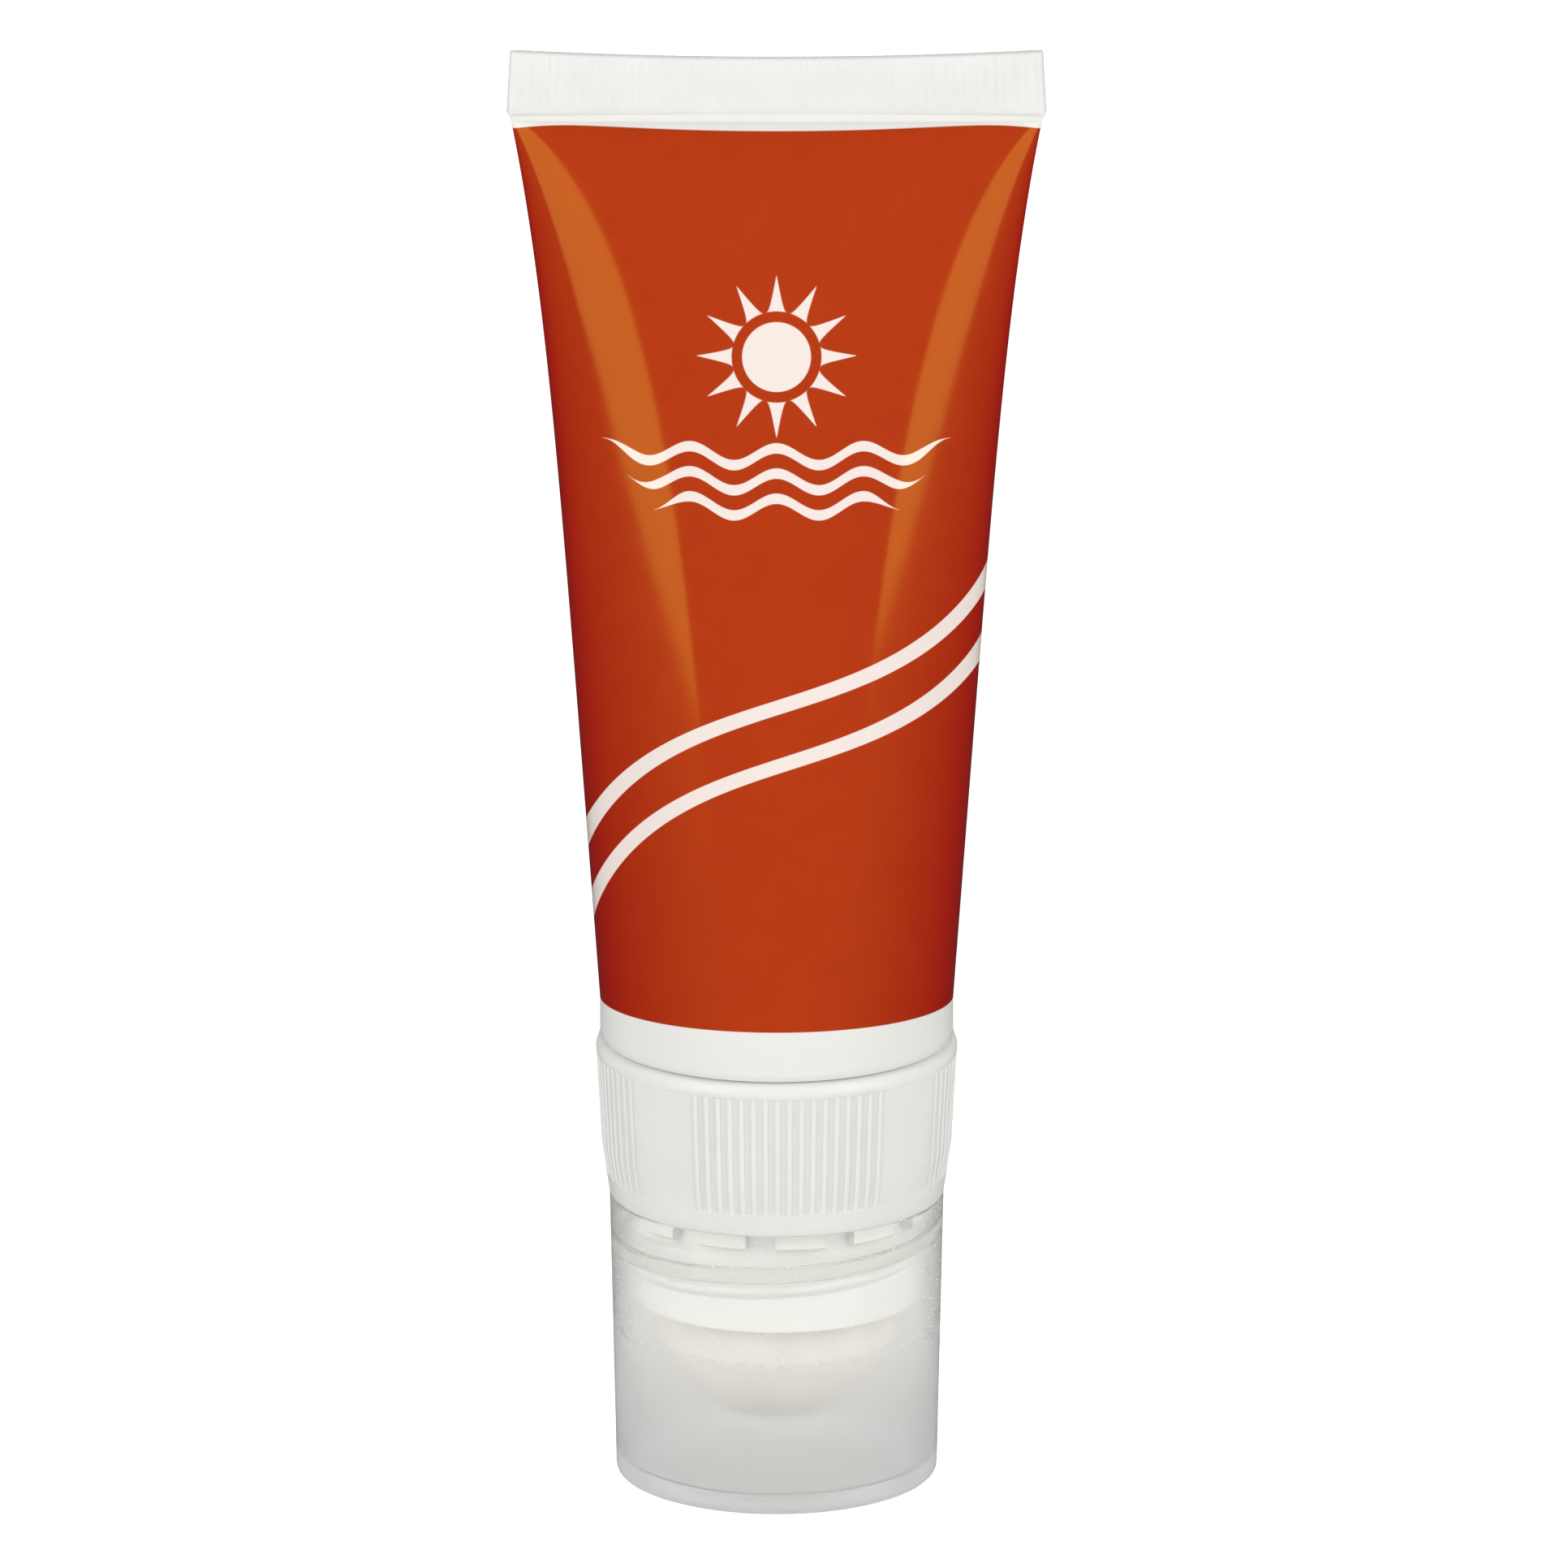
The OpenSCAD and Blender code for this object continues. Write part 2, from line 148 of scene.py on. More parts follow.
class SleeveSizes(bpy.types.PropertyGroup):
    """Sizes of the sleeve and of its end seal"""
    round_radius: length("Round end", "Outside radius of the round end", 12.5)
    wall: length("Wall", "Wall of the sleeve", 0.45)
    skirt: length("Skirt", "How far the film reaches below the sleeve's moulded end", 0.13)
    round_top: length("Round part", "Height where the flare starts", 35.0)
    flare_top: length("Flare end", "Height where the sleeve is flat", 98.8)
    flat_half: length("Flat half width", "Half width of the flat end", 18.55)
    straight: factor("Straight share", "Share of the widening that is a taper", 0.76)
    curl: number("Curl", "How late the rest of the widening comes", 5.5)
    fall: number("Depth fall", "How bluntly the depth falls away", 0.45)
    air: length("Air", "Height left above the cream", 6.8)
    seal_foot: length("Seal foot", "Height where the ridges start", 99.4)
    seal_thick: length("Seal thickness", "Thickness over the ridges", 1.1)
    ridge_depth: length("Ridge depth", "Depth of the pressed ridges", 0.09)
    ridge_pitch: length("Ridge pitch", "Distance from ridge to ridge", 0.72)
    seal_lean: length("Seal lean", "How far each side leans in at the top", 0.25)
    seal_bow: length("Seal bow", "How far the top edge dips in the middle", 0.5)


class PrintSettings(bpy.types.PropertyGroup):
    """Where the print lies, its inks, and the painted shade along the tube's sides"""
    top: length("Print top", "Height of the upper edge of the print in the middle", 98.45)
    foot: length("Print foot", "Height of the lower edge at the sides", 35.1)
    foot_rise: length("Foot rise", "How much higher the lower edge is in front", 0.9)
    band: length("Stripe", "Width of each stripe in front", 1.05)
    step: length("Stripe step", "Distance from one stripe to the next in front", 4.16)
    sun_height: length("Sun height", "Height of the middle of the sun", 83.5)
    rays: whole("Rays", "Rays round the sun", 12)
    waves: whole("Waves", "Waves under the sun", 3)
    wave_height: length("Wave height", "Height of the uppermost wave", 76.6)
    wave_step: length("Wave step", "Distance from one wave to the next", 1.75)
    wave_reach: length("Wave reach", "Half length of the uppermost wave", 12.2)
    ink: colour("Ink", "Orange-red ink", 188, 61, 23)
    # Painted shade: a deeper red laid into the print along the tube's two sides, standing in for the
    # darkening there under the lights
    painted_side_shade: colour("Painted side shade", "Painted shade that deepens the ink along the two sides of the tube", 163, 14, 15)
    ink_matt: factor("Ink roughness", "Roughness of the printed film", 0.08)
    film_matt: factor("Film roughness", "Roughness of the bare film", 0.34)
    stripe: colour("Stripe colour", "Off-white of the stripes", 250, 237, 230)
    film: colour("Film", "Bare plastic of the sleeve", 242, 242, 239)


class ClosureSizes(bpy.types.PropertyGroup):
    """Sizes of the ribbed closure"""
    top_radius: length("Top radius", "Outside radius at the smooth ring", 12.8)
    chin_radius: length("Chin radius", "Outside radius where the chin starts", 12.43)
    low_radius: length("Low radius", "Outside radius at the cap", 11.85)
    chin: length("Chin", "Height where the closure starts to draw in", 24.5)
    rib_foot: length("Rib foot", "Height of the ribs' lower ends", 22.4)
    rib_top: length("Rib top", "Height of the ribs' upper ends", 31.1)
    rib_depth: length("Rib depth", "Depth of the recessed band", 0.09)
    rib_width: length("Rib width", "Width of a rib", 0.46)
    rib_step: degrees("Rib step", "Angle from rib to rib", 3.9)
    rib_turn: degrees("Rib turn", "Angle of the front group", 4.2)
    rib_count: whole("Ribs in a group", "Ribs in each group", 17)
    groups: whole("Groups", "Groups of ribs", 4)
    edge: length("Edge", "Height of the rounded top edge", 0.8)
    fingers: whole("Fingers", "Snap fingers under the closure", 12)
    finger_reach: length("Finger reach", "How far the fingers reach down inside the cap", 1.4)
    finger_inner: length("Finger inside", "Inside radius of the fingers", 10.17)
    finger_outer: length("Finger outside", "Outside radius of the fingers", 10.96)
    finger_slot: degrees("Finger slot", "Angle of the slot between two fingers", 11.0)
    finger_turn: degrees("Finger turn", "Angle of the middle of the row of fingers", 84.0)
    plastic: colour("Plastic", "White plastic of the closure", 247, 246, 242)


class ThreadSizes(bpy.types.PropertyGroup):
    """Sizes of the threads on the neck, on the barrel and in the cap"""
    neck_root: length("Neck root", "Radius of the neck under its thread", 6.0)
    neck_crest: length("Neck crest", "Crest of the neck's thread, from the axis", 6.5)
    neck_pitch: length("Neck pitch", "Pitch of the neck's thread", 2.5)
    barrel_root: length("Barrel root", "Radius of the barrel under its thread", 10.09)
    barrel_crest: length("Barrel crest", "Crest of the barrel's thread, from the axis", 10.5)
    cap_crest: length("Cap crest", "Crest of the cap's thread, from the axis", 10.66)
    cap_pitch: length("Cap pitch", "Pitch of the threads of barrel and cap", 2.8)


class BalmSettings(bpy.types.PropertyGroup):
    """Colours of the balm and of what carries it"""
    wax: colour("Wax", "Colour of the balm", 234, 231, 225)
    barrel: colour("Barrel", "White plastic of the barrel", 252, 252, 249)
    mechanism: colour("Mechanism", "White plastic of the spindle and carrier", 234, 234, 230)


class CapSizes(bpy.types.PropertyGroup):
    """Sizes and finish of the frosted cap"""
    base_radius: length("Base radius", "Outside radius at the base", 11.4)
    top_radius: length("Top radius", "Outside radius at the top", 11.85)
    wall: length("Wall", "Wall of the cap", 0.7)
    floor: length("Floor", "Thickness of the cap's base", 1.3)
    edge: length("Edge", "Radius of the bottom edge", 0.6)
    clear: factor("Clear", "Share of the light that goes through the plastic", 0.93)
    matt: factor("Matt", "Roughness of the frosted skin beside the threads", 0.26)
    haze: factor("Haze", "Roughness of the frosted skin near the base", 0.42)
    clear_foot: length("Clear foot", "Height above which the skin is at its finest", 12.0)
    haze_top: length("Haze top", "Height below which the skin is at its coarsest", 2.0)
    frost: colour("Frost", "Colour of the plastic beside the threads", 255, 255, 253)
    low_frost: colour("Low frost", "Colour of the plastic near the base", 240, 240, 239)


class StudioSettings(bpy.types.PropertyGroup):
    """Camera and lights"""
    distance: length("Distance", "Distance from the camera to its target", 1300)
    elevation: degrees("Elevation", "Height of the camera as an angle", 16.0)
    aside: length("Aside", "Sideways shift of camera and target", 0.52)
    target: length("Target height", "Height of the point the camera looks at", 50.59)
    focal: number("Focal length", "Focal length in picture widths", 22704 / 1932)
    softbox: number("Softboxes", "Brightness of the softboxes", 2.85)
    fill: number("Fill", "Brightness of the surroundings", 0.55)
    glint: factor("Glint", "Share of that brightness which mirrored rays see", 0.05)
    veil: number("Veil", "Brightness of the background through the cap", 1.0)
    floor_glow: number("Floor glow", "Light of the floor to the camera", 0.6)
    floor_veil: number("Floor veil", "Light of the floor through the cap", 0.75)


# Node trees written as Python expressions

def operator_pair(operation):
    """The methods that Python calls for an operator with a wire at its left and at its right."""
    def forward(wire, other):
        return wire.board.add("ShaderNodeMath", {"operation": operation}, [wire, other])

    def backward(wire, other):
        return wire.board.add("ShaderNodeMath", {"operation": operation}, [other, wire])

    return forward, backward


class Wire:
    """An output socket that Python's operators work on"""
    __add__, __radd__ = operator_pair("ADD")
    __sub__, __rsub__ = operator_pair("SUBTRACT")
    __mul__, __rmul__ = operator_pair("MULTIPLY")
    __truediv__, __rtruediv__ = operator_pair("DIVIDE")
    __pow__ = operator_pair("POWER")[0]

    def __init__(self, board, socket):
        self.board = board
        self.socket = socket

    def math(self, operation, *others, clamp=False):
        """A Math node that takes this wire and the others."""
        settings = {"operation": operation, "use_clamp": clamp}
        return self.board.add("ShaderNodeMath", settings, [self, *others])

    def __neg__(self):
        return self * -1.0

    def __abs__(self):
        return self.math("ABSOLUTE")

    def clamp(self):
        """This value held between 0 and 1."""
        return self.math("ADD", 0.0, clamp=True)

    def rise(self, low, high):
        """0 below low and 1 above high, with a smooth step between."""
        return self.board.add("ShaderNodeMapRange", {"interpolation_type": "SMOOTHSTEP"},
                              {"Value": self, "From Min": low, "From Max": high})


class Board:
    """Adds nodes to a tree and hands back their outputs as wires"""

    def __init__(self, tree):
        self.tree = tree

    def join(self, socket, value):
        """Links a wire to a socket, or gives the socket a constant."""
        if isinstance(value, Wire):
            self.tree.links.new(value.socket, socket)
        elif socket.type == "RGBA" and len(value) == 3:
            socket.default_value = (*value, 1.0)
        else:
            socket.default_value = value

    def feed(self, node, **sockets):
        """Gives named sockets of a node their wires or constants."""
        for label, value in sockets.items():
            self.join(node.inputs[label.replace("_", " ")], value)

    def add(self, kind, settings=None, inputs=(), out=0):
        """A node of this kind, with its settings made before its sockets are filled."""
        node = self.tree.nodes.new(kind)
        for name, value in (settings or {}).items():
            setattr(node, name, value)
        if isinstance(inputs, dict):
            for name, value in inputs.items():
                self.join(self.find(node.inputs, name), value)
        else:
            for socket, value in zip(node.inputs, inputs):
                self.join(socket, value)
        return Wire(self, self.find(node.outputs, out)) if node.outputs else node

    @staticmethod
    def find(sockets, name):
        """The socket with this place, identifier or name."""
        named = [socket for socket in sockets if socket.identifier == name]
        return named[0] if named else sockets[name]

    def blend(self, share, first, second):
        """The first colour turned into the second by a share from 0 to 1."""
        return self.add("ShaderNodeMix", {"data_type": "RGBA"},
                        {"Factor_Float": share, "A_Color": first, "B_Color": second},
                        "Result_Color")

    def vector(self, x, y, z):
        return self.add("ShaderNodeCombineXYZ", None, [x, y, z])

    def parts(self, vector):
        """The three numbers of a vector."""
        node = self.add("ShaderNodeSeparateXYZ", None, [vector]).socket.node
        return [Wire(self, output) for output in node.outputs]

    def place(self):
        """A point's place on the object, in metres."""
        return self.add("ShaderNodeTexCoord", out="Object")

    def grain(self, scale, detail):
        """Noise from 0 to 1 with this many blotches to the metre."""
        return self.add("ShaderNodeTexNoise", None,
                        {"Vector": self.place(), "Scale": scale, "Detail": detail})

    def bump(self, height, depth, strength):
        """A normal for a height from 0 to 1 that stands for this depth in metres."""
        return self.add("ShaderNodeBump", None,
                        {"Strength": strength, "Distance": depth, "Height": height})


def new_material(name, **sockets):
    """A material with one Principled shader, as (material, board, shader)."""
    material = bpy.data.materials.new(name)
    material.use_nodes = True
    tree = material.node_tree
    tree.nodes.clear()
    board = Board(tree)
    shader = tree.nodes.new("ShaderNodeBsdfPrincipled")
    output = tree.nodes.new("ShaderNodeOutputMaterial")
    tree.links.new(shader.outputs["BSDF"], output.inputs["Surface"])
    board.feed(shader, **sockets)
    return material, board, shader


def geometry_tree(name, numbers, counts=()):
    """An empty tree with named inputs, as (tree, board, wires by name)."""
    tree = bpy.data.node_groups.new(name, "GeometryNodeTree")
    kinds = [("Geometry", "Geometry"), *((label, "Int") for label in counts),
             *((label, "Float") for label in numbers), ("Material", "Material")]
    for label, kind in kinds:
        tree.interface.new_socket(label, in_out="INPUT", socket_type="NodeSocket" + kind)
    tree.interface.new_socket("Geometry", in_out="OUTPUT", socket_type="NodeSocketGeometry")
    board = Board(tree)
    entry = tree.nodes.new("NodeGroupInput")
    wires = {socket.name: Wire(board, socket) for socket in entry.outputs if socket.name}
    return tree, board, wires


def move_points(board, geometry, position):
    """Set Position, and Merge by Distance for the points that then meet."""
    moved = board.add("GeometryNodeSetPosition", None, {"Geometry": geometry, "Position": position})
    return board.add("GeometryNodeMergeByDistance", None, {"Geometry": moved, "Distance": 1e-6})


def end_tree(tree, board, wires, geometry):
    """Realize Instances, Set Material and the output that every tree ends in."""
    real = board.add("GeometryNodeRealizeInstances", None, [geometry])
    paint = {"Geometry": real, "Material": wires["Material"]}
    painted = board.add("GeometryNodeSetMaterial", None, paint)
    board.join(tree.nodes.new("NodeGroupOutput").inputs[0], painted)
    return tree


def run_tree(piece, tree, material, **values):
    """Runs a tree on a piece and leaves its result as the piece's plain mesh."""
    values = {name.replace("_", " "): value for name, value in values.items()}
    values["Material"] = material
    modifier = piece.modifiers.new(tree.name, "NODES")
    modifier.node_group = tree
    for item in tree.interface.items_tree:
        if item.in_out == "INPUT" and item.name in values:
            modifier[item.identifier] = values.pop(item.name)
    if values:
        raise RuntimeError(f"{tree.name} has no input for {sorted(values)}")
    graph = bpy.context.evaluated_depsgraph_get()
    made = bpy.data.meshes.new_from_object(piece.evaluated_get(graph), preserve_all_data_layers=True,
                                           depsgraph=graph)
    if not made.polygons:
        raise RuntimeError(f"{tree.name} made no faces for {piece.name}")
    flat = piece.data
    piece.modifiers.clear()
    piece.data = made
    bpy.data.meshes.remove(flat)
    made.name = piece.name


# Meshes

def new_piece(name, points, faces, material=None):
    """An object at the origin with a mesh of these points and faces."""
    mesh = bpy.data.meshes.new(name)
    mesh.from_pydata(points, [], faces)
    mesh.validate()
    if material:
        mesh.materials.append(material)
    piece = bpy.data.objects.new(name, mesh)
    bpy.context.scene.collection.objects.link(piece)
    return piece


def settle(piece, body, slot, *nodes, angle=35.0):
    """Shades a finished piece, ties it to its body and hides the nodes it stands for; slot is not used.
    """
    piece.data.shade_smooth()
    piece.data.set_sharp_from_angle(angle=math.radians(angle))
    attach(piece, body)
    if nodes:
        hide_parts(*nodes)


def soften(outline, steps=5):
    """An outline of (radius, height, fillet) with its corners rounded; fillets are in millimetres."""
    rounded = []
    count = len(outline)
    for i, (r, z, fillet) in enumerate(outline):
        here = Vector((r, z))
        if fillet <= 0:
            rounded.append(here)
            continue
        before = Vector(outline[i - 1][:2]) - here
        after = Vector(outline[(i + 1) % count][:2]) - here
        cut = fillet * MM * math.tan((math.pi - before.angle(after)) / 2)
        cut = min(cut, 0.48 * before.length, 0.48 * after.length)
        start = here + before.normalized() * cut
        end = here + after.normalized() * cut
        for k in range(steps + 1):
            s = k / steps
            rounded.append((1 - s) ** 2 * start + 2 * s * (1 - s) * here + s * s * end)
    return rounded


def lathe(name, outline, material, sides=192):
    """Turns an outline of (radius, height, fillet in millimetres) about the vertical axis."""
    ring = soften(outline)
    area = sum(a.x * b.y - b.x * a.y for a, b in zip(ring, ring[1:] + ring[:1]))
    if area < 0:
        ring.reverse()
    points, rows = [], []
    for p in ring:
        turns = 1 if p.x < 1e-9 else sides
        rows.append(range(len(points), len(points) + turns))
        for k in range(turns):
            a = 2 * math.pi * k / sides
            points.append((p.x * math.cos(a), p.x * math.sin(a), p.y))
    faces = []
    for low, high in zip(rows, rows[1:] + rows[:1]):
        if len(low) == 1 and len(high) == 1:
            continue
        for k in range(sides):
            n = (k + 1) % sides
            if len(low) == 1:
                faces.append((low[0], high[n], high[k]))
            elif len(high) == 1:
                faces.append((low[k], low[n], high[0]))
            else:
                faces.append((low[k], low[n], high[n], high[k]))
    return new_piece(name, points, faces, material)


def loft(rings):
    """Points and faces of a solid through rings of points, closed at its first and last ring."""
    size = len(rings[0])
    points = [point for ring in rings for point in ring]
    last = len(points) - size
    faces = [tuple(range(size - 1, -1, -1)), tuple(range(last, last + size))]
    for low in range(0, last, size):
        for i in range(size):
            n = (i + 1) % size
            faces.append((low + i, low + n, low + size + n, low + size + i))
    return points, faces


def sheet(name, columns, rows, press=None, closed=False):
    """A grid drawn flat, one column to each x and one row to each (y, z), for a tree to shape.

    press is a number for each row, kept on the points. Faces join the last row to the first if closed.
    """
    wide, tall = len(columns), len(rows)
    points = [(x, y, z) for y, z in rows for x in columns]
    faces = []
    for j in range(tall if closed else tall - 1):
        n = (j + 1) % tall
        for i in range(wide - 1):
            faces.append((j * wide + i, j * wide + i + 1, n * wide + i + 1, n * wide + i))
    piece = new_piece(name, points, faces)
    if press:
        layer = piece.data.attributes.new("press", "FLOAT", "POINT")
        layer.data.foreach_set("value", [press[j] for j in range(tall) for _ in columns])
    flat = piece.data.uv_layers.new(name="Flat").data
    for loop in piece.data.loops:
        flat[loop.index].uv = points[loop.vertex_index][::2]
    return piece


def roll_sleeve_tree():
    """Rolls a flat sheet (turn, inset, height) up into the flaring sleeve, and keeps how far each point
    faces sideways as the side attribute for the print's painted side shade.
    """
    tree, board, wire = geometry_tree("Roll up sleeve", (
        "Round radius", "Flat half", "Flat thickness", "Round top", "Flare top",
        "Straight", "Curl", "Fall"))
    turn, inset, height = board.parts(board.add("GeometryNodeInputPosition"))
    press = board.add("GeometryNodeInputNamedAttribute", {"data_type": "FLOAT"}, ["press"])
    radius, thin = wire["Round radius"], wire["Flat thickness"] / 2
    share = ((height - wire["Round top"]) / (wire["Flare top"] - wire["Round top"])).clamp()
    flare = wire["Straight"] * share + (1 - wire["Straight"]) * share ** wire["Curl"]
    fall = (1 - share) ** wire["Fall"]
    half_width = radius + (wire["Flat half"] - radius) * flare - inset
    half_depth = (thin + (radius - thin) * fall - inset * fall - press).math("MAXIMUM", 0.0)
    angle = turn * (2 * math.pi)
    across, ahead = angle.math("SINE"), angle.math("COSINE")
    rolled = board.vector(half_width * across, -half_depth * ahead, height)
    # How far each point faces sideways, 0 in front and 1 at the sides; the print uses it to lay painted
    # shade along the tube's two sides
    lean, front = abs(across * half_depth), ahead * half_width
    side = lean / (lean * lean + front * front + 1e-12).math("SQRT")
    noted = board.add("GeometryNodeStoreNamedAttribute", {"data_type": "FLOAT", "domain": "POINT"},
                      {"Geometry": wire["Geometry"], "Name": "side", "Value": side})
    return end_tree(tree, board, wire, move_points(board, noted, rolled))


def press_seal_tree():
    """Presses ridges into a flat strip (across, side, height) and bows its top edge."""
    tree, board, wire = geometry_tree("Press end seal", (
        "Half width", "Thickness", "Foot", "Height", "Pitch", "Ridge depth", "Lean", "Bow", "Seed"))
    across, side, up = board.parts(board.add("GeometryNodeInputPosition"))
    x = across * wire["Half width"]
    where = board.vector(across * 9.0, wire["Seed"], 0.0)
    uneven = board.add("ShaderNodeTexNoise", {"noise_dimensions": "2D"},
                       {"Vector": where, "Scale": 1.0, "Detail": 2.0})
    phase = (x / wire["Pitch"] + 2.2 * uneven) * (2 * math.pi)
    wave = phase.math("SINE") * 0.9 + 0.5
    groove = wave.clamp() * up.rise(0.1, 0.2) * (1 - 0.35 * uneven)
    ends = (1 - abs(across) ** 90.0).math("MAXIMUM", 0.0).math("SQRT")
    rim = 1 - up ** 40.0 * 0.35
    half = (wire["Thickness"] / 2 - wire["Ridge depth"] * groove) * ends * rim
    lean = 1 - up * (wire["Lean"] / wire["Half width"])
    high = wire["Height"] - wire["Bow"] * (1 - across * across)
    shaped = board.vector(x * lean, half * side, wire["Foot"] + up * high)
    return end_tree(tree, board, wire, move_points(board, wire["Geometry"], shaped))


def ring_tree():
    """Copies a piece round the vertical axis in groups."""
    tree, board, wire = geometry_tree("Ring of copies", ("Step", "First"), ("Groups", "Group count"))
    count, groups = wire["Group count"], wire["Groups"]
    places = board.add("GeometryNodePoints", None, {"Count": groups * count})
    index = board.add("GeometryNodeInputIndex")
    group = (index / count).math("FLOOR")
    inside = index - group * count - (count - 1) / 2
    angle = wire["First"] + group * (2 * math.pi) / groups + inside * wire["Step"]
    copies = board.add("GeometryNodeInstanceOnPoints", None, {
        "Points": places, "Instance": wire["Geometry"], "Rotation": board.vector(0.0, 0.0, angle)})
    return end_tree(tree, board, wire, copies)


def thread_tree():
    """Winds a flat ridge (share of its length, out, up) round the vertical axis, facing outward."""
    tree, board, wire = geometry_tree("Wind thread", ("Radius", "Foot", "Pitch", "Turns", "Start"))
    along, out, up = board.parts(board.add("GeometryNodeInputPosition"))
    run_out = along.rise(0.0, 0.07) * (1 - along.rise(0.93, 1.0))
    angle = wire["Start"] + along * wire["Turns"] * (2 * math.pi)
    radius = wire["Radius"] + out * run_out
    height = wire["Foot"] + along * wire["Turns"] * wire["Pitch"] + up * (0.3 + 0.7 * run_out)
    wound = board.vector(radius * angle.math("COSINE"), radius * angle.math("SINE"), height)
    outward = board.add("GeometryNodeFlipFaces", None, [move_points(board, wire["Geometry"], wound)])
    return end_tree(tree, board, wire, outward)


# Materials

def moulded_plastic(name, shade, roughness, glow=0.15):
    """Satin moulded plastic with faint clouding and a fine skin; glow is its share of scattered light."""
    material, board, shader = new_material(name, IOR=1.47, Subsurface_Weight=glow,
                                           Subsurface_Scale=1.5 * MM, Subsurface_Radius=(1.0, 1.0, 1.0))
    cloud = board.grain(260.0, 3.0)
    skin = board.grain(5200.0, 2.0)
    darker = tuple(c * 0.97 for c in shade)
    board.feed(shader, Base_Color=board.blend(cloud.rise(0.3, 0.7), darker, shade),
               Roughness=roughness - 0.05 + 0.1 * skin, Normal=board.bump(skin, 0.01 * MM, 0.35))
    return material


def printed_film(settings, sizes):
    """Glossy orange-red print with two off-white stripes and a plain sun over waves, on white film;
    towards the tube's two sides the ink turns to a deeper painted shade.
    """
    material, board, shader = new_material("printed_film", IOR=1.5, Specular_Tint=(1.0, 0.7, 0.08))
    x, y, z = board.parts(board.place())
    turn, _, _ = board.parts(board.add("ShaderNodeUVMap", {"uv_map": "Flat"}))
    foot = settings.foot + settings.foot_rise * (abs(y) / sizes.round_radius).clamp()
    across = (x / sizes.flat_half) * (x / sizes.flat_half)
    top = settings.top + TOP_RISE * across - TOP_DROOP * across ** 4.0
    inked = z.rise(foot - BLUR, foot + BLUR) * (1 - z.rise(top - BLUR, top + BLUR))
    front = (-y).rise(0.0, 0.5 * MM)
    marks = stripe_mask(turn, z, settings).math("MAXIMUM", front * sun_mask(x, z, settings))
    cloud = board.grain(420.0, 3.0)
    side = board.add("ShaderNodeAttribute", {"attribute_name": "side"}, out="Fac")
    ink = board.blend(cloud.rise(0.35, 0.65), tuple(c * 0.96 for c in settings.ink), settings.ink)
    # Painted shade: the ink deepens to the side shade colour where the surface turns towards the tube's
    # two sides; ink and printed carry it from here
    ink = board.blend(side.clamp() ** 2.6, ink, settings.painted_side_shade)
    printed = board.blend(marks, ink, settings.stripe)
    smoother = (settings.film_matt - settings.ink_matt) * inked
    ripple = board.grain(90.0, 1.0)
    board.feed(shader, Base_Color=board.blend(inked, settings.film, printed),
               Roughness=settings.film_matt - smoother + 0.02 * cloud,
               Normal=board.bump(ripple + 0.02 * inked, 0.2 * MM, 0.1))
    return material


def stripe_mask(turn, z, settings):
    """1 on the two stripes that climb from the left edge of the front to the right one."""
    a = (turn * (2 * math.pi)).math("SINE").math("ARCSINE")
    square = a * a
    climb = STRIPE_CLIMB[-1]
    for term in reversed(STRIPE_CLIMB[:-1]):
        climb = term + a * climb
    half = settings.band / 2 * (1 + BAND_SWELL * square)
    upper = abs(z - climb * MM)
    lower = abs(z + settings.step * (1 + STEP_SWELL * square) - climb * MM)
    gap = upper.math("MINIMUM", lower)
    return 1 - gap.rise(half - BLUR, half + BLUR)


def sun_mask(x, z, settings):
    """1 on a plain sun with rays over a few waves."""
    rays = settings.rays / 2
    up = z - settings.sun_height
    reach = (x * x + up * up).math("SQRT")
    disc = 1 - reach.rise(SUN_DISC - BLUR, SUN_DISC + BLUR)
    beside = abs((up.math("ARCTAN2", x) * rays).math("SINE")) * reach / rays
    taper = RAY_HALF * (RAY_TIP - reach) / (RAY_TIP - RAY_ROOT)
    star = (1 - beside.rise(taper - BLUR, taper + BLUR)) * reach.rise(RAY_ROOT, RAY_ROOT + 2 * BLUR)
    star = star * (1 - reach.rise(RAY_TIP - 2.5 * BLUR, RAY_TIP))
    swell = WAVE_SWELL * (x * (2 * math.pi / WAVE_LENGTH)).math("COSINE")
    below = settings.wave_height - z + swell
    last = settings.waves - 1.0
    row = (below / settings.wave_step).math("ROUND").math("MINIMUM", last).math("MAXIMUM", 0.0)
    off = abs(below - row * settings.wave_step)
    end = settings.wave_reach - row * WAVE_SHORTER
    thin = WAVE_HALF * (1 - abs(x).rise(end - WAVE_TAPER, end))
    waves = (1 - off.rise(thin - BLUR, thin + BLUR)) * (1 - abs(x).rise(end - BLUR, end))
    return disc.math("MAXIMUM", star).math("MAXIMUM", waves)


def frosted_plastic(settings):
    """Translucent plastic whose matt skin blurs what stands behind it, more so near the base."""
    material, board, shader = new_material("frosted_plastic", IOR=1.15,
                                           Transmission_Weight=settings.clear)
    _, _, z = board.parts(board.place())
    low = 1 - z.rise(settings.haze_top, settings.clear_foot)
    cloud = board.grain(300.0, 3.0)
    skin = board.grain(7000.0, 2.0)
    tint = board.blend((low + 0.1 * (cloud - 0.5)).clamp(), settings.frost, settings.low_frost)
    board.feed(shader, Base_Color=tint,
               Roughness=settings.matt + (settings.haze - settings.matt) * low + 0.02 * skin)
    return material


def balm_wax(settings):
    """Warm wax with a soft sheen."""
    material, board, shader = new_material("balm_wax", IOR=1.44, Subsurface_Weight=0.35,
                                           Subsurface_Scale=2 * MM, Subsurface_Radius=(1.0, 0.9, 0.75))
    cloud = board.grain(350.0, 4.0)
    pale = tuple(min(1.0, c * 1.06) for c in settings.wax)
    board.feed(shader, Base_Color=board.blend(cloud.rise(0.3, 0.7), settings.wax, pale),
               Roughness=0.45 + 0.12 * cloud, Normal=board.bump(cloud, 0.03 * MM, 0.4))
    return material


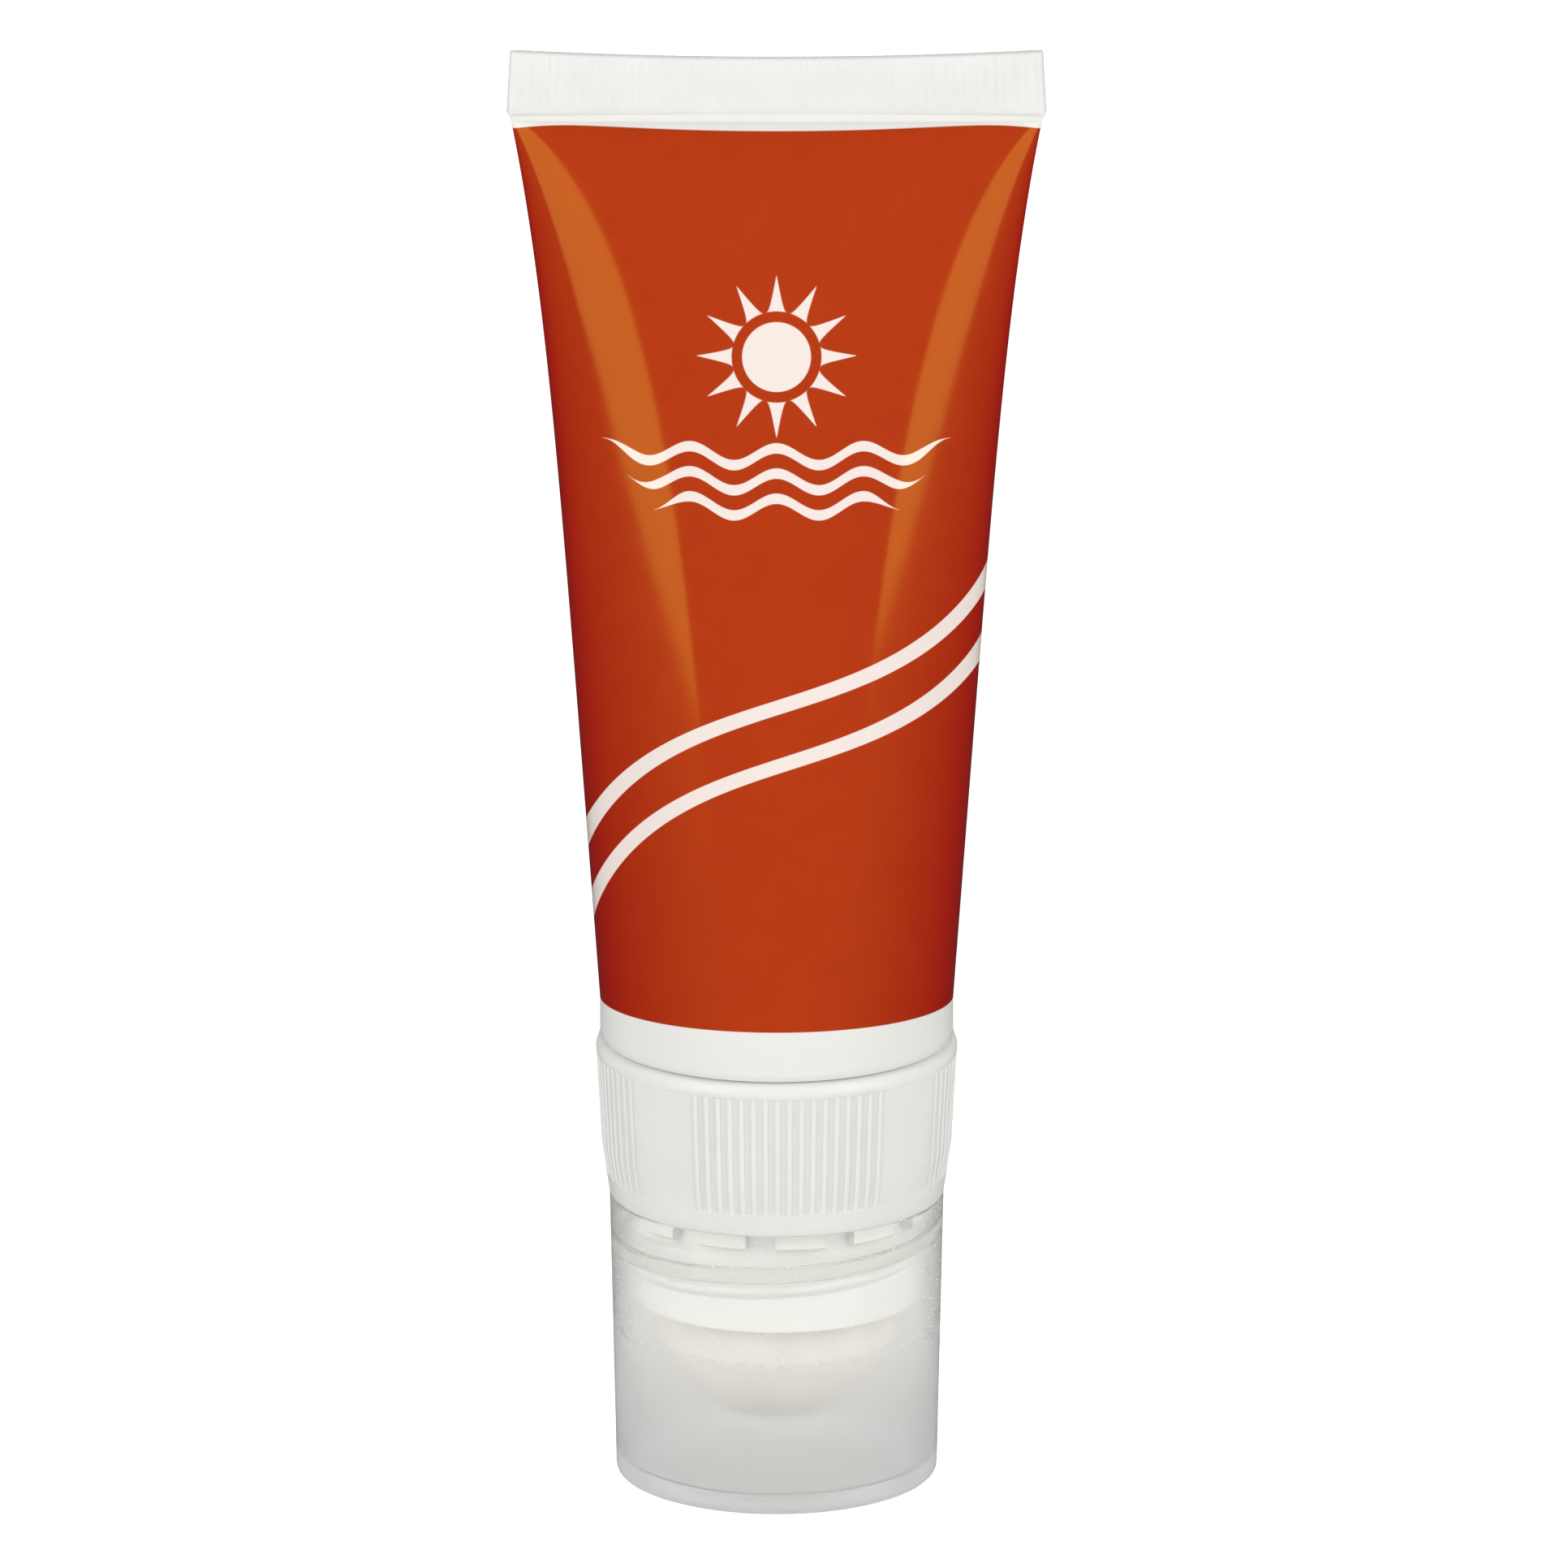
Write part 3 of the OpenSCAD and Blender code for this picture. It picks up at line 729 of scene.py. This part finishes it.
def cell_foam():
    """Closed-cell foam of the sealing disc."""
    material, board, shader = new_material("cell_foam", Roughness=0.8)
    cells = board.add("ShaderNodeTexVoronoi", None, {"Vector": board.place(), "Scale": 4200.0})
    shade = board.blend(cells.clamp(), screen(238, 238, 234), screen(214, 214, 210))
    board.feed(shader, Base_Color=shade, Normal=board.bump(cells, 0.05 * MM, 0.5))
    return material


def smooth_cream():
    """Pale cream with a soft sheen."""
    material, board, shader = new_material("smooth_cream", Roughness=0.35, Subsurface_Weight=0.3,
                                           Subsurface_Scale=2 * MM)
    swirl = board.grain(180.0, 2.0)
    board.feed(shader, Base_Color=board.blend(swirl, screen(250, 246, 232), screen(244, 238, 220)))
    return material


def paint_node(name, material):
    """Gives a carried-over node its material."""
    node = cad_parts[name]
    for slot in node.material_slots:
        slot.material = material


# Pieces

def easing(low, high, steps):
    """Heights from low up to high that crowd together near the top."""
    return [low + (high - low) * (1 - (1 - k / steps) ** 2) for k in range(steps + 1)]


def sleeve_rows(sizes):
    """Rows (inset, height, press) of the sleeve's sheet: inside down, round the rim, outside up."""
    low, start, foot = SLEEVE_LOW.z - sizes.skirt, sizes.round_top, sizes.seal_foot
    edge, wall = 0.1 * MM, sizes.wall
    end = start + (sizes.flare_top - start) * 0.97
    heights = [low + 0.6 * MM, low + 1.2 * MM, *easing(start, sizes.flare_top, 72)]
    inner = [z for z in heights if z < end] + [end]
    rows = [(wall, end, SHUT)] + [(wall, z, 0.0) for z in reversed(inner)]
    rows += [(wall, low + edge, 0.0), (wall - edge, low, 0.0), (edge, low, 0.0), (0.0, low + edge, 0.0)]
    rows += [(0.0, z, 0.0) for z in heights]
    rows += [(0.03 * MM - SEAL_SPREAD, foot - 0.2 * MM, 0.0), (-SEAL_SPREAD, foot, SEAL_GROOVE)]
    spread, strip = SEAL_SPREAD - 0.07 * MM, foot + 0.4 * MM
    rows += [(-spread, strip, SEAL_GROOVE + 0.1 * MM), (-spread, strip, SHUT)]
    return rows


def roll(piece, sizes, material):
    """Rolls a flat sheet up to the sleeve's shape."""
    run_tree(piece, roll_sleeve_tree(), material, Round_radius=sizes.round_radius,
             Flat_half=sizes.flat_half, Flat_thickness=sizes.seal_thick, Round_top=sizes.round_top,
             Flare_top=sizes.flare_top, Straight=sizes.straight, Curl=sizes.curl, Fall=sizes.fall)


class TUBE_OT_sleeve(bpy.types.Operator):
    """Builds the printed sleeve from a rolled-up sheet"""
    bl_idname = "tube.sleeve"
    bl_label = "Printed sleeve"

    def execute(self, context):
        sizes = context.scene.tube_sleeve
        rows = sleeve_rows(sizes)
        columns = [k / 256 - 0.5 for k in range(257)]
        film = printed_film(context.scene.tube_print, sizes)
        piece = sheet("sleeve_film", columns, [(y, z) for y, z, _ in rows], [p for _, _, p in rows])
        roll(piece, sizes, film)
        settle(piece, "tube", "printed_sleeve", "tube_sleeve", angle=50.0)
        return {"FINISHED"}


class TUBE_OT_seal(bpy.types.Operator):
    """Builds the ridged end seal from a pressed strip"""
    bl_idname = "tube.seal"
    bl_label = "End seal"

    def execute(self, context):
        sizes = context.scene.tube_sleeve
        half = (SLEEVE_HIGH.x - SLEEVE_LOW.x) / 2
        columns = [k / 230 - 1 for k in range(461)]
        ups = [0.0, 0.03, 0.1, 0.12, 0.14, 0.16, 0.18, 0.2, 0.3, 0.45, 0.6, 0.75, 0.9, 0.96, 0.99, 1.0]
        rows = [(-1.0, up) for up in ups] + [(1.0, up) for up in reversed(ups)]
        piece = sheet("end_seal", columns, rows, closed=True)
        film = moulded_plastic("sealed_film", context.scene.tube_print.film, 0.32)
        run_tree(piece, press_seal_tree(), film, Half_width=half, Thickness=sizes.seal_thick,
                 Foot=sizes.seal_foot, Height=SLEEVE_HIGH.z - sizes.seal_foot, Pitch=sizes.ridge_pitch,
                 Ridge_depth=sizes.ridge_depth, Lean=sizes.seal_lean, Bow=sizes.seal_bow, Seed=3.0)
        settle(piece, "tube", "printed_sleeve", "tube_sleeve", angle=60.0)
        return {"FINISHED"}


def thread_ridge(name, depth, foot, crest, columns=220):
    """A flat ridge, foot wide at its root and crest wide at its top, sunk a little under its root."""
    sunk = -math.copysign(0.15 * MM, depth)
    section = [(sunk, -foot / 2), (0.0, -foot / 2), (0.85 * depth, -crest / 2), (depth, -crest / 4),
               (depth, crest / 4), (0.85 * depth, crest / 2), (0.0, foot / 2), (sunk, foot / 2)]
    rows = section if depth > 0 else section[::-1]
    piece = sheet(name, [k / (columns - 1) for k in range(columns)], rows, closed=True)
    made = bmesh.new()
    made.from_mesh(piece.data)
    bmesh.ops.holes_fill(made, edges=[e for e in made.edges if e.is_boundary], sides=0)
    bmesh.ops.recalc_face_normals(made, faces=made.faces)
    made.to_mesh(piece.data)
    made.free()
    return piece


def add_thread(name, material, body, slot, root, crest, pitch, end):
    """Winds a thread between two radii, from near the lower end of its part upward."""
    turns, start, rise, foot, tip = THREADS[name]
    piece = thread_ridge(name, crest - root, foot, tip)
    run_tree(piece, thread_tree(), material, Radius=root, Foot=end + rise, Pitch=pitch, Turns=turns,
             Start=start)
    settle(piece, body, slot)


def cream_rows(sizes):
    """Rows (inset, height) of the cream's sheet, from the outlet up to its level."""
    funnel = [(0.0, 26.6), (4.3, 26.6), (4.5, 26.9), (4.5, 32.1), (4.8, 32.4), (9.9, 33.7), (10.6, 34.1),
              (10.7, 34.6), (10.8, 35.5), (11.1, 35.9), (11.6, 36.2)]
    rows = [(sizes.round_radius - r * MM, z * MM) for r, z in funnel]
    level = sizes.flare_top - sizes.air
    gap = sizes.wall + 0.3 * MM
    rows += [(gap, z) for z in easing(36.4 * MM, level, 40)]
    rows += [(gap + 0.4 * MM, level + 0.1 * MM), (sizes.flat_half, level)]
    return rows


class TUBE_OT_shoulder(bpy.types.Operator):
    """Finishes the shoulder, its neck thread, the cream and the sealing disc"""
    bl_idname = "tube.shoulder"
    bl_label = "Shoulder and neck"

    def execute(self, context):
        sizes = context.scene.tube_sleeve
        threads = context.scene.tube_thread
        white = moulded_plastic("shoulder_plastic", screen(240, 240, 236), 0.42)
        paint_node("tube_shoulder", white)
        paint_node("sealing_disc", cell_foam())
        cream = sheet("cream_fill", [k / 128 - 0.5 for k in range(129)], cream_rows(sizes))
        roll(cream, sizes, smooth_cream())
        settle(cream, "tube", "cream", "sun_cream")
        add_thread("neck_thread", white, "tube", "white_shoulder", threads.neck_root,
                   threads.neck_crest, threads.neck_pitch, NECK_LOW.z)
        return {"FINISHED"}


def closure_skin(sizes, z):
    """Outside radius of the closure at a height."""
    low, radius, chin = CLOSURE_LOW.z + sizes.finger_reach, sizes.chin_radius, sizes.chin
    if z < chin:
        return sizes.low_radius + (radius - sizes.low_radius) * (z - low) / (chin - low)
    return radius + (sizes.top_radius - radius) * (z - chin) / (CLOSURE_HIGH.z - sizes.edge - chin)


def closure_outline(sizes):
    """Half section of the closure without ribs and fingers, as (radius, height, fillet)."""
    low, foot, chin, top = CLOSURE_LOW.z + sizes.finger_reach, sizes.rib_foot, sizes.chin, sizes.rib_top
    low_r, foot_r, chin_r, top_r = (closure_skin(sizes, z) for z in (low, foot, chin, top))
    deep, ring, high, edge = sizes.rib_depth, sizes.top_radius, CLOSURE_HIGH.z, sizes.edge
    return [
        (low_r, low, 0.12), (foot_r, foot, 0.06), (foot_r - deep, foot, 0.06),
        (chin_r - deep, chin, 4.0), (top_r - deep, top, 0.06), (top_r, top, 0.1),
        (ring, high - edge, 0.5), (ring - 0.15 * MM, high - 0.25 * MM, 0.4), (ring - edge, high, 0.3),
        (BORE, high, 0.2), (BORE, WEB_TOP, 0.2), (SOCKET_OUTER, WEB_TOP, 0.2),
        (SOCKET_OUTER, SOCKET_TOP, 0.15), (SOCKET_INNER, SOCKET_TOP, 0.15), (SOCKET_INNER, WEB_TOP, 0.1),
        (HOLE, WEB_TOP, 0), (HOLE, WEB_FOOT, 0), (BEAD_SEAT, WEB_FOOT, 0.05),
        (BEAD_SEAT, LIP_TOP, 0.05), (sizes.finger_inner, LIP_TOP, 0.1), (sizes.finger_inner, low, 0),
    ]


def rib_mesh(sizes):
    """One rounded rib at the right of the axis, running up the closure's skin."""
    steps, over, half = 16, 0.1 * MM, sizes.rib_width / 2
    flank = [(sizes.rib_depth + 0.3 * MM, 1.0), (0.17 * MM, 1.0), (0.06 * MM, 0.72), (0.0, 0.3)]
    section = [(depth, -half * wide) for depth, wide in flank]
    section += [(depth, half * wide) for depth, wide in reversed(flank)]
    rings = []
    for k in range(steps + 1):
        z = sizes.rib_foot - over + (sizes.rib_top - sizes.rib_foot + 2 * over) * k / steps
        crest = closure_skin(sizes, z) - 0.02 * MM
        rings.append([(crest - depth, y, z) for depth, y in section])
    return loft(rings)


def finger_mesh(sizes):
    """One snap finger: a block of a ring, at the right of the axis."""
    steps, bevel = 8, 0.2 * MM
    span = 2 * math.pi / sizes.fingers - sizes.finger_slot
    inner, outer, low = sizes.finger_inner, sizes.finger_outer, CLOSURE_LOW.z
    high = low + sizes.finger_reach + bevel
    section = [(outer, high), (outer, low + bevel), (outer - bevel, low),
               (inner + bevel, low), (inner, low + bevel), (inner, high)]
    turns = [(k / steps - 0.5) * span for k in range(steps + 1)]
    return loft([[(r * math.cos(a), r * math.sin(a), z) for r, z in section] for a in turns])


class TUBE_OT_closure(bpy.types.Operator):
    """Builds the ribbed closure with its rib groups and snap fingers"""
    bl_idname = "tube.closure"
    bl_label = "Ribbed closure"

    def execute(self, context):
        sizes = context.scene.tube_closure
        white = moulded_plastic("closure_plastic", sizes.plastic, 0.36, glow=0.4)
        body = lathe("closure_body", closure_outline(sizes), white)
        settle(body, "closure", "white_closure", "ribbed_closure")
        ring = ring_tree()
        plain = moulded_plastic("rib_plastic", sizes.plastic, 0.36, glow=0.0)
        ribs = new_piece("closure_ribs", *rib_mesh(sizes))
        run_tree(ribs, ring, plain, Groups=sizes.groups, Group_count=sizes.rib_count,
                 Step=sizes.rib_step, First=sizes.rib_turn - math.pi / 2)
        settle(ribs, "closure", "white_closure", "ribbed_closure")
        fingers = new_piece("snap_fingers", *finger_mesh(sizes))
        run_tree(fingers, ring, plain, Groups=1, Group_count=sizes.fingers,
                 Step=2 * math.pi / sizes.fingers, First=sizes.finger_turn)
        settle(fingers, "closure", "white_closure", "ribbed_closure")
        return {"FINISHED"}


class TUBE_OT_balm(bpy.types.Operator):
    """Finishes the barrel, its thread, the mechanism and the balm"""
    bl_idname = "tube.balm"
    bl_label = "Balm stick"

    def execute(self, context):
        settings = context.scene.tube_balm
        threads = context.scene.tube_thread
        white = moulded_plastic("barrel_plastic", settings.barrel, 0.36)
        plain = moulded_plastic("mechanism_plastic", settings.mechanism, 0.45)
        paint_node("balm_barrel", white)
        paint_node("balm_spindle", plain)
        paint_node("balm_carrier", plain)
        add_thread("barrel_thread", white, "barrel", "white_barrel", threads.barrel_root,
                   threads.barrel_crest, threads.cap_pitch, BARREL_LOW.z)
        paint_node("lip_balm", balm_wax(settings))
        return {"FINISHED"}


def cap_outline(sizes):
    """Half section of the cap, as (radius, height, fillet)."""
    base, top, wall, floor = sizes.base_radius, sizes.top_radius, sizes.wall, sizes.floor
    flat, high = base - FOOT_RING, CAP_HIGH.z
    return [
        (0, HOLLOW, 0), (flat - 0.6 * MM, HOLLOW, 0.3), (flat, 0, 0.3),
        (base, 0, sizes.edge / MM), (top, high, 0.12), (top - wall, high, 0.12),
        (cap_skin(sizes, floor) - wall, floor, 0.5), (0, floor, 0),
    ]


def cap_skin(sizes, z):
    """Outside radius of the cap at a height."""
    return sizes.base_radius + (sizes.top_radius - sizes.base_radius) * z / CAP_HIGH.z


class TUBE_OT_cap(bpy.types.Operator):
    """Builds the frosted cap and the thread inside it"""
    bl_idname = "tube.cap"
    bl_label = "Frosted cap"

    def execute(self, context):
        sizes = context.scene.tube_cap
        threads = context.scene.tube_thread
        frost = frosted_plastic(sizes)
        shell = lathe("cap_shell", cap_outline(sizes), frost)
        settle(shell, "cap", "frosted_cap", "frosted_cap")
        bore = cap_skin(sizes, THREAD_LEVEL) - sizes.wall
        add_thread("cap_thread", frost, "cap", "frosted_cap", bore, threads.cap_crest,
                   threads.cap_pitch, BARREL_LOW.z)
        return {"FINISHED"}


class TUBE_OT_studio(bpy.types.Operator):
    """Sets up the floor, the lights and the camera"""
    bl_idname = "tube.studio"
    bl_label = "Studio"

    def execute(self, context):
        scene = context.scene
        settings = scene.tube_studio
        corners = [(x * FLOOR_HALF, y * FLOOR_HALF, 0) for x, y in ((-1, -1), (1, -1), (1, 1), (-1, 1))]
        floor = new_piece("studio_floor", corners, [(0, 1, 2, 3)], floor_material(settings))
        middle = Vector((0, 0, LAMP_MIDDLE))
        for name, side, part in SOFTBOXES:
            lamp = bpy.data.lights.new(name, "AREA")
            lamp.shape = "RECTANGLE"
            lamp.size, lamp.size_y = LAMP_WIDE, LAMP_TALL
            lamp.energy = part * settings.softbox * math.pi * LAMP_WIDE * LAMP_TALL
            around = math.radians(side)
            spot = middle + LAMP_AWAY * Vector((math.sin(around), -math.cos(around), 0))
            aim(scene, name, lamp, spot, middle).visible_camera = False
        scene.world = studio_world(settings)
        lens = bpy.data.cameras.new("studio_camera")
        lens.sensor_width = 36.0
        lens.lens = lens.sensor_width * settings.focal
        lens.clip_start, lens.clip_end = 0.05, 20.0
        target = Vector((settings.aside, 0, settings.target))
        tilt = settings.elevation
        spot = target + settings.distance * Vector((0, -math.cos(tilt), math.sin(tilt)))
        scene.camera = aim(scene, "studio_camera", lens, spot, target)
        scene.view_settings.view_transform = "Standard"
        return {"FINISHED"}


def aim(scene, name, data, spot, target):
    """Links a lamp or camera that looks from a spot at a target."""
    thing = bpy.data.objects.new(name, data)
    scene.collection.objects.link(thing)
    thing.location = spot
    thing.rotation_euler = (target - spot).to_track_quat("-Z", "Y").to_euler()
    return thing


def ray_kinds(board):
    """1 for rays straight from the camera, for rays through the cap and for mirrored rays."""
    kinds = ("Is Camera Ray", "Is Transmission Ray", "Is Glossy Ray")
    return [board.add("ShaderNodeLightPath", out=kind) for kind in kinds]


def studio_world(settings):
    """White behind the object, an even fill light on it, and darkness where its gloss mirrors."""
    world = bpy.data.worlds.new("studio_world")
    world.use_nodes = True
    world.cycles.sampling_method = "NONE"
    world.node_tree.nodes.clear()
    board = Board(world.node_tree)
    camera, through, mirrored = ray_kinds(board)
    backdrop = board.add("ShaderNodeBackground", None, {
        "Color": (0.975, 0.975, 0.973), "Strength": camera + settings.veil * through})
    strength = settings.fill * (1 - (1 - settings.glint) * mirrored)
    fill = board.add("ShaderNodeBackground", None, {"Color": (1.0, 1.0, 1.0), "Strength": strength})
    mixed = board.add("ShaderNodeMixShader", None, [camera.math("MAXIMUM", through), fill, backdrop])
    board.join(board.tree.nodes.new("ShaderNodeOutputWorld").inputs["Surface"], mixed)
    return world


def floor_material(settings):
    """Pale floor that reads as white, straight and through the cap, and is dark to mirrored rays."""
    material, board, shader = new_material("studio_floor", Roughness=0.9, Specular_IOR_Level=0.1)
    camera, through, mirrored = ray_kinds(board)
    mottle = board.grain(3.0, 2.0)
    pale = board.blend(mottle, (0.8, 0.8, 0.8), (0.83, 0.83, 0.83))
    board.feed(shader, Base_Color=board.blend(mirrored, pale, (0.03, 0.03, 0.03)),
               Emission_Color=(1.0, 1.0, 1.0),
               Emission_Strength=camera * settings.floor_glow + through * settings.floor_veil)
    return material


class TUBE_PT_panel(bpy.types.Panel):
    """Buttons that build the pieces, and their settings"""
    bl_idname = "TUBE_PT_panel"
    bl_label = "Sun cream tube"
    bl_space_type = "VIEW_3D"
    bl_region_type = "UI"
    bl_category = "Tube"

    def draw(self, context):
        for step in STEPS:
            self.layout.operator(step.bl_idname)
        for name, group in SETTINGS.items():
            box = self.layout.box()
            settings = getattr(context.scene, name)
            for label in group.__annotations__:
                box.prop(settings, label)


SETTINGS = {
    "tube_sleeve": SleeveSizes, "tube_print": PrintSettings, "tube_closure": ClosureSizes,
    "tube_thread": ThreadSizes, "tube_balm": BalmSettings, "tube_cap": CapSizes,
    "tube_studio": StudioSettings,
}
STEPS = (TUBE_OT_studio, TUBE_OT_sleeve, TUBE_OT_seal, TUBE_OT_shoulder, TUBE_OT_closure, TUBE_OT_balm,
         TUBE_OT_cap)


def register():
    for group in (*SETTINGS.values(), *STEPS, TUBE_PT_panel):
        bpy.utils.register_class(group)
    for name, group in SETTINGS.items():
        setattr(bpy.types.Scene, name, PointerProperty(type=group))


def unregister():
    for name in SETTINGS:
        delattr(bpy.types.Scene, name)
    for group in (TUBE_PT_panel, *reversed(STEPS), *reversed(SETTINGS.values())):
        bpy.utils.unregister_class(group)


def main():
    """Builds the stage and every piece."""
    register()
    for step in STEPS:
        getattr(bpy.ops.tube, step.bl_idname.split(".")[1])()


if __name__ == "__main__":
    main()
